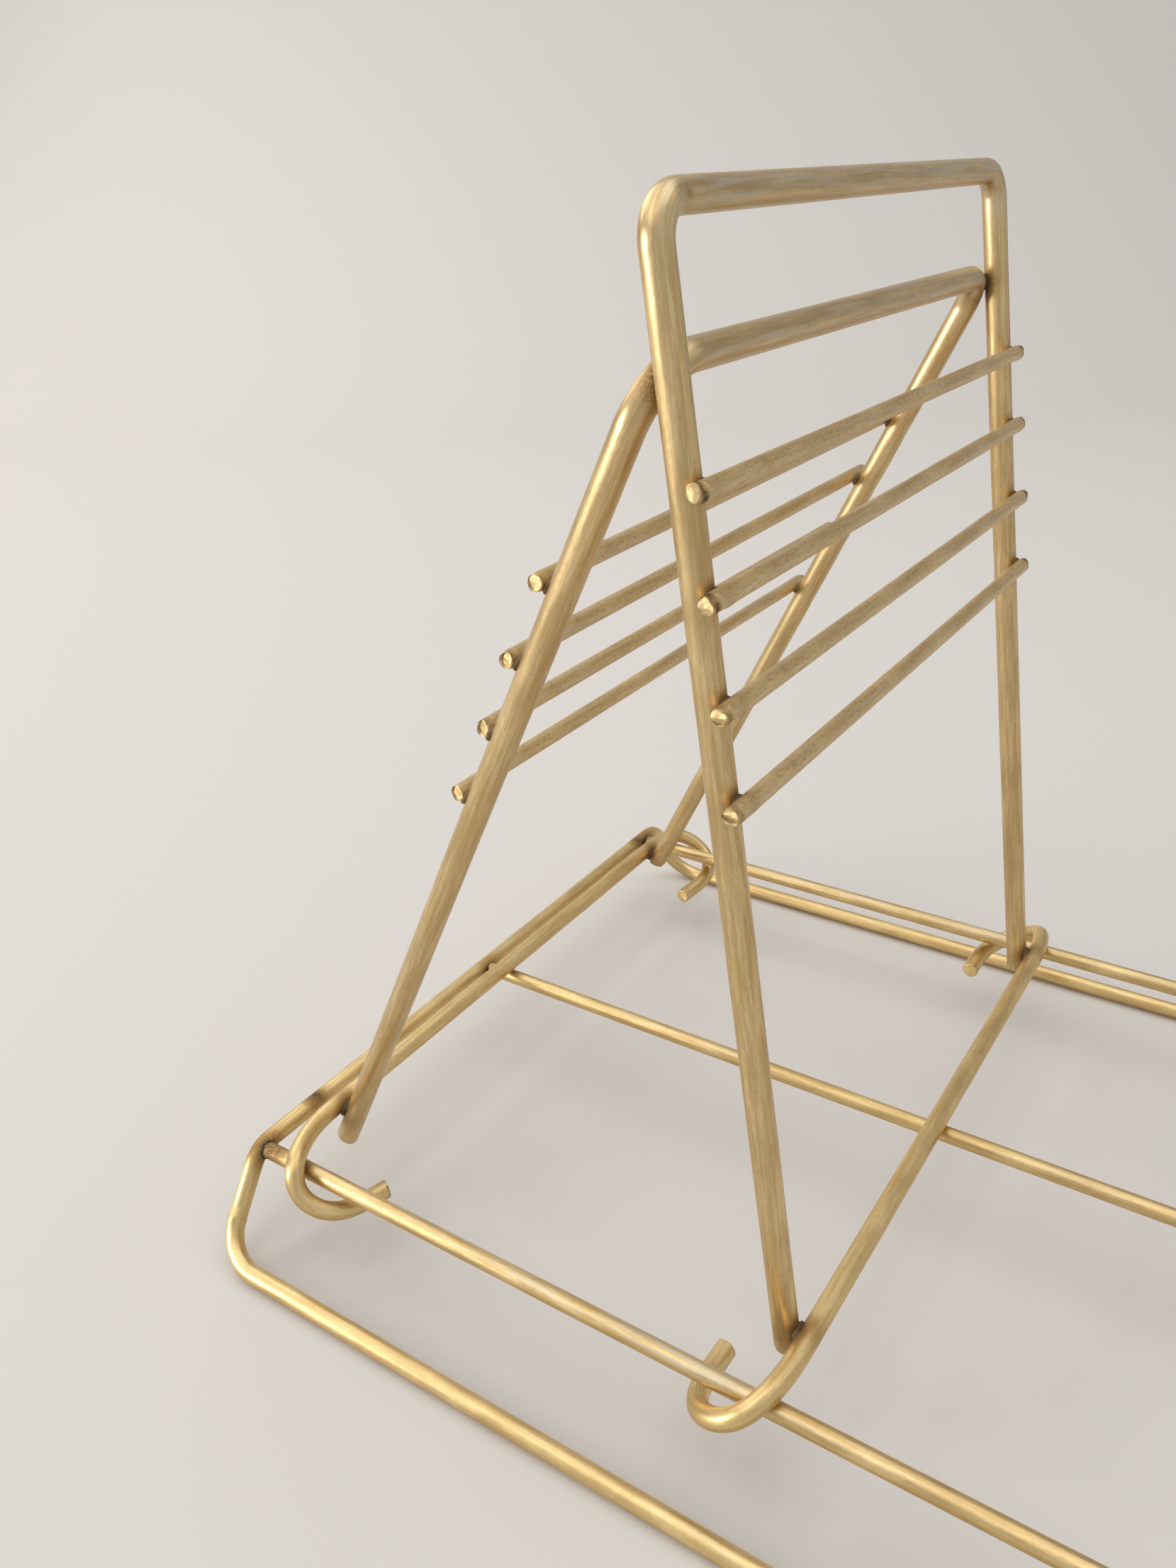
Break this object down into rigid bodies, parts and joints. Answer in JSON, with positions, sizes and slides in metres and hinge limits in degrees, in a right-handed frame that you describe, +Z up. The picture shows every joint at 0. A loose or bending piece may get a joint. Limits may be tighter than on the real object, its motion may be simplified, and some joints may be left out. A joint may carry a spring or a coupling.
{
  "type": "book display stand",
  "caption": "Free-standing brass wire stand: A-frame ends slide towards each other along a low raised wire base and hold books upright between them.",
  "frame": {"origin": "centre of the footprint, on the table the base stands on", "axes": "+X along the rails towards the second stand, +Y from the front floor rail to the rear one, +Z up"},
  "size_m": [0.4, 0.1598, 0.1689],
  "materials": {
    "frame_wire": "satin, lacquered, light handling wear",
    "rail_wire": "satin with fine lengthwise drawing marks",
    "runner_wire": "satin, dull at the welds",
    "hoop_wire": "satin, slightly grey on the top run",
    "bar_wire": "satin, fine pitting, sheared bright ends"
  },
  "bodies": {
    "base": {"base_frame_loop": "frame_wire", "front_slide_rail": "rail_wire", "rear_slide_rail": "rail_wire", "centre_rail": "rail_wire"},
    "left_stand": {"left_outer_runner": "runner_wire", "left_inner_runner": "runner_wire", "left_tall_hoop": "hoop_wire", "left_short_hoop": "hoop_wire", "left_book_bar_1": "bar_wire", "left_book_bar_2": "bar_wire", "left_book_bar_3": "bar_wire", "left_book_bar_4": "bar_wire", "left_brace_bar_1": "bar_wire", "left_brace_bar_2": "bar_wire", "left_brace_bar_3": "bar_wire", "left_brace_bar_4": "bar_wire"},
    "right_stand": {"right_outer_runner": "runner_wire", "right_inner_runner": "runner_wire", "right_tall_hoop": "hoop_wire", "right_short_hoop": "hoop_wire", "right_book_bar_1": "bar_wire", "right_book_bar_2": "bar_wire", "right_book_bar_3": "bar_wire", "right_book_bar_4": "bar_wire", "right_brace_bar_1": "bar_wire", "right_brace_bar_2": "bar_wire", "right_brace_bar_3": "bar_wire", "right_brace_bar_4": "bar_wire"}
  },
  "joints": [
    {"name": "left_stand_slide", "type": "slide", "parent": "base", "child": "left_stand", "axis": [1, 0, 0], "range_m": [-0.003, 0.0955]},
    {"name": "right_stand_slide", "type": "slide", "parent": "base", "child": "right_stand", "axis": [-1, 0, 0], "range_m": [-0.003, 0.0955]}
  ]
}
